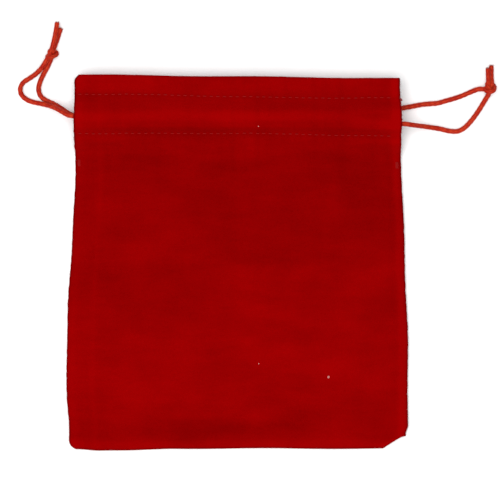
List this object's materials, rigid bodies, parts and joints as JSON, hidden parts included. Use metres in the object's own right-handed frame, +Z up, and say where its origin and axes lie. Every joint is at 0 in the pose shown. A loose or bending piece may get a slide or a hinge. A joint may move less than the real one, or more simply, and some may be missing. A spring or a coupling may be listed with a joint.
{
  "type": "drawstring dice bag",
  "caption": "Flat velvet drawstring pouch lying on its back, with a stitched casing below the mouth and two opposed braided cords knotted at the sides.",
  "frame": {"origin": "middle of the bag's outline on the surface it lies on, cords left out", "axes": "+X across the bag to the right-hand cord, +Y from the bottom seam to the mouth, +Z up through the thickness from the back panel to the front panel"},
  "size_m": [0.1909, 0.1709, 0.0132],
  "materials": {
    "velvet": "short plush pile, soft sheen",
    "velvet_inside": "same velvet turned to the inside, duller",
    "thread": "polyester sewing thread, slight gloss",
    "cord": "satin braided cord"
  },
  "bodies": {
    "bag": {"front_panel": "velvet", "back_panel": "velvet", "front_hem": "velvet_inside", "back_hem": "velvet_inside", "left_seam_allowance": "velvet_inside", "right_seam_allowance": "velvet_inside", "bottom_seam_allowance": "velvet_inside", "front_upper_stitching": "thread", "front_lower_stitching": "thread", "back_upper_stitching": "thread", "back_lower_stitching": "thread", "left_side_stitching": "thread", "right_side_stitching": "thread", "bottom_stitching": "thread", "left_slit_tack": "thread", "right_slit_tack": "thread"},
    "left_cord": {"left_cord_run": "cord", "left_front_strand": "cord", "left_back_strand": "cord", "left_knot": "cord", "left_front_tail": "cord", "left_back_tail": "cord"},
    "right_cord": {"right_cord_run": "cord", "right_front_strand": "cord", "right_back_strand": "cord", "right_knot": "cord", "right_front_tail": "cord", "right_back_tail": "cord"}
  },
  "joints": [
    {"name": "left_pull", "type": "slide", "parent": "bag", "child": "left_cord", "axis": [-1, 0, 0], "range_m": [0, 0.045], "deforming": ["front_hem", "back_hem"]},
    {"name": "right_pull", "type": "slide", "parent": "left_cord", "child": "right_cord", "axis": [1, 0, 0], "range_m": [0, 0.09]}
  ],
  "couplings": [
    {"joint": "right_pull", "follows": "left_pull", "ratio": 2}
  ]
}
